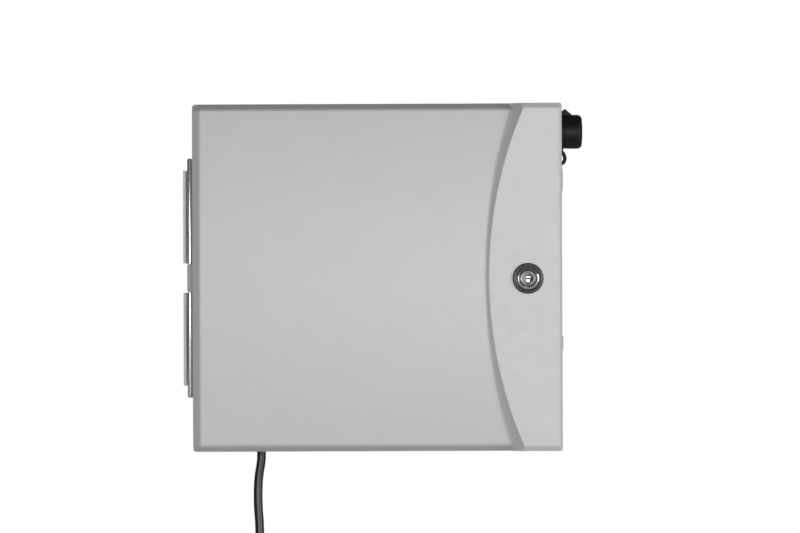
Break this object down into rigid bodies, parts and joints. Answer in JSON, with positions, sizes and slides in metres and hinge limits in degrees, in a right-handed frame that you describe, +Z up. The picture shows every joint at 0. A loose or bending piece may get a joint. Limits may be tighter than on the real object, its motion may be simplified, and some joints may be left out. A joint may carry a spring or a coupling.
{
  "type": "irrigation controller",
  "caption": "Wall-mounted irrigation controller: grey moulded cabinet, hinged lockable door, hinged control panel, plug-in modules and a mains lead.",
  "frame": {"origin": "middle of the cabinet's back face, on the wall", "axes": "+X to the right seen from the front, +Y into the wall, +Z up"},
  "size_m": [0.3532, 0.1302, 0.5635],
  "materials": {
    "case": "light grey moulded, fine texture",
    "inner": "mid grey moulded",
    "dark": "near-black satin",
    "rubber": "black, soft sheen",
    "steel": "zinc plated",
    "chrome": "polished",
    "copper": "wound and taped",
    "board": "solder mask",
    "window": "clear window",
    "button": "light satin",
    "terminal": "green terminal block"
  },
  "bodies": {
    "cabinet": {"cabinet_shell": "case", "rim_gasket": "rubber", "hinge_guard_upper": "case", "hinge_guard_lower": "case", "hinge_rod": "steel", "lock_catch": "steel", "panel_bracket_upper": "inner", "panel_bracket_lower": "inner", "panel_rod": "steel", "backplane_tray": "inner", "backplane_board": "board", "terminal_strip": "terminal", "transformer_core": "steel", "transformer_coil": "copper", "transformer_bracket": "steel", "junction_box": "inner", "junction_cover": "inner", "cover_screw_upper": "steel", "cover_screw_lower": "steel", "mains_terminal": "button", "ground_lug": "steel", "strain_relief": "rubber", "conduit_plug_large": "case", "conduit_plug_small": "case", "side_plug_upper": "case", "side_plug_lower": "case", "port_socket": "dark", "cap_tether": "rubber", "cord": "rubber", "cord_coil": "rubber", "cord_tie": "dark", "cord_plug": "rubber"},
    "door": {"door_shell": "case", "lock_bezel": "dark", "lock_housing": "chrome", "lock_nut": "steel"},
    "lock_plug": {"lock_cylinder": "dark", "lock_cam": "steel", "cam_screw": "steel"},
    "inner_panel": {"panel_frame": "inner", "unit_housing": "dark", "display_window": "window", "display_module": "dark", "control_board": "board", "battery_tray": "dark", "battery": "dark"},
    "dial": {"dial_knob": "button"},
    "program_button": {"button_program": "button"},
    "back_button": {"button_back": "button"},
    "minus_button": {"button_minus": "button"},
    "plus_button": {"button_plus": "button"},
    "next_button": {"button_next": "button"},
    "bypass_slider": {"bypass_switch": "button"},
    "power_unit": {"power_module": "dark"},
    "output_unit_1": {"output_module_1": "dark"},
    "output_unit_2": {"output_module_2": "dark"},
    "output_unit_3": {"output_module_3": "dark"},
    "output_unit_4": {"output_module_4": "dark"},
    "lock_bar": {"module_lock_bar": "button"},
    "cap": {"port_cap": "rubber"}
  },
  "joints": [
    {"name": "door_swing", "type": "hinge", "parent": "cabinet", "child": "door", "pos_m": [-0.165, -0.08, 0], "axis": [0, 0, -1], "range_deg": [0, 115]},
    {"name": "panel_swing", "type": "hinge", "parent": "cabinet", "child": "inner_panel", "pos_m": [-0.148, -0.078, 0], "axis": [0, 0, -1], "range_deg": [0, 101]},
    {"name": "lock_turn", "type": "hinge", "parent": "door", "child": "lock_plug", "pos_m": [0.132, -0.127, -0.0012], "axis": [0, -1, 0], "range_deg": [0, 90]},
    {"name": "dial_turn", "type": "hinge", "parent": "inner_panel", "child": "dial", "pos_m": [0.046, -0.09, 0.074], "axis": [0, -1, 0], "continuous": true},
    {"name": "program_press", "type": "slide", "parent": "inner_panel", "child": "program_button", "axis": [0, 1, 0], "range_m": [0, 0.0012], "stiffness_N_per_m": 400},
    {"name": "back_press", "type": "slide", "parent": "inner_panel", "child": "back_button", "axis": [0, 1, 0], "range_m": [0, 0.0012], "stiffness_N_per_m": 400},
    {"name": "minus_press", "type": "slide", "parent": "inner_panel", "child": "minus_button", "axis": [0, 1, 0], "range_m": [0, 0.0012], "stiffness_N_per_m": 400},
    {"name": "plus_press", "type": "slide", "parent": "inner_panel", "child": "plus_button", "axis": [0, 1, 0], "range_m": [0, 0.0012], "stiffness_N_per_m": 400},
    {"name": "next_press", "type": "slide", "parent": "inner_panel", "child": "next_button", "axis": [0, 1, 0], "range_m": [0, 0.0012], "stiffness_N_per_m": 400},
    {"name": "bypass_slide", "type": "slide", "parent": "inner_panel", "child": "bypass_slider", "axis": [1, 0, 0], "range_m": [0, 0.008]},
    {"name": "power_unplug", "type": "slide", "parent": "cabinet", "child": "power_unit", "axis": [0, 0, 1], "range_m": [0, 0.014]},
    {"name": "output_1_unplug", "type": "slide", "parent": "cabinet", "child": "output_unit_1", "axis": [0, 0, 1], "range_m": [0, 0.014]},
    {"name": "output_2_unplug", "type": "slide", "parent": "cabinet", "child": "output_unit_2", "axis": [0, 0, 1], "range_m": [0, 0.014]},
    {"name": "output_3_unplug", "type": "slide", "parent": "cabinet", "child": "output_unit_3", "axis": [0, 0, 1], "range_m": [0, 0.014]},
    {"name": "output_4_unplug", "type": "slide", "parent": "cabinet", "child": "output_unit_4", "axis": [0, 0, 1], "range_m": [0, 0.014]},
    {"name": "bar_slide", "type": "slide", "parent": "cabinet", "child": "lock_bar", "axis": [1, 0, 0], "range_m": [0, 0.008]},
    {"name": "cap_pull", "type": "slide", "parent": "cabinet", "child": "cap", "axis": [1, 0, 0], "range_m": [0, 0.025]}
  ],
  "couplings": [
    {"joint": "panel_swing", "follows": "door_swing", "ratio": 0.87}
  ]
}
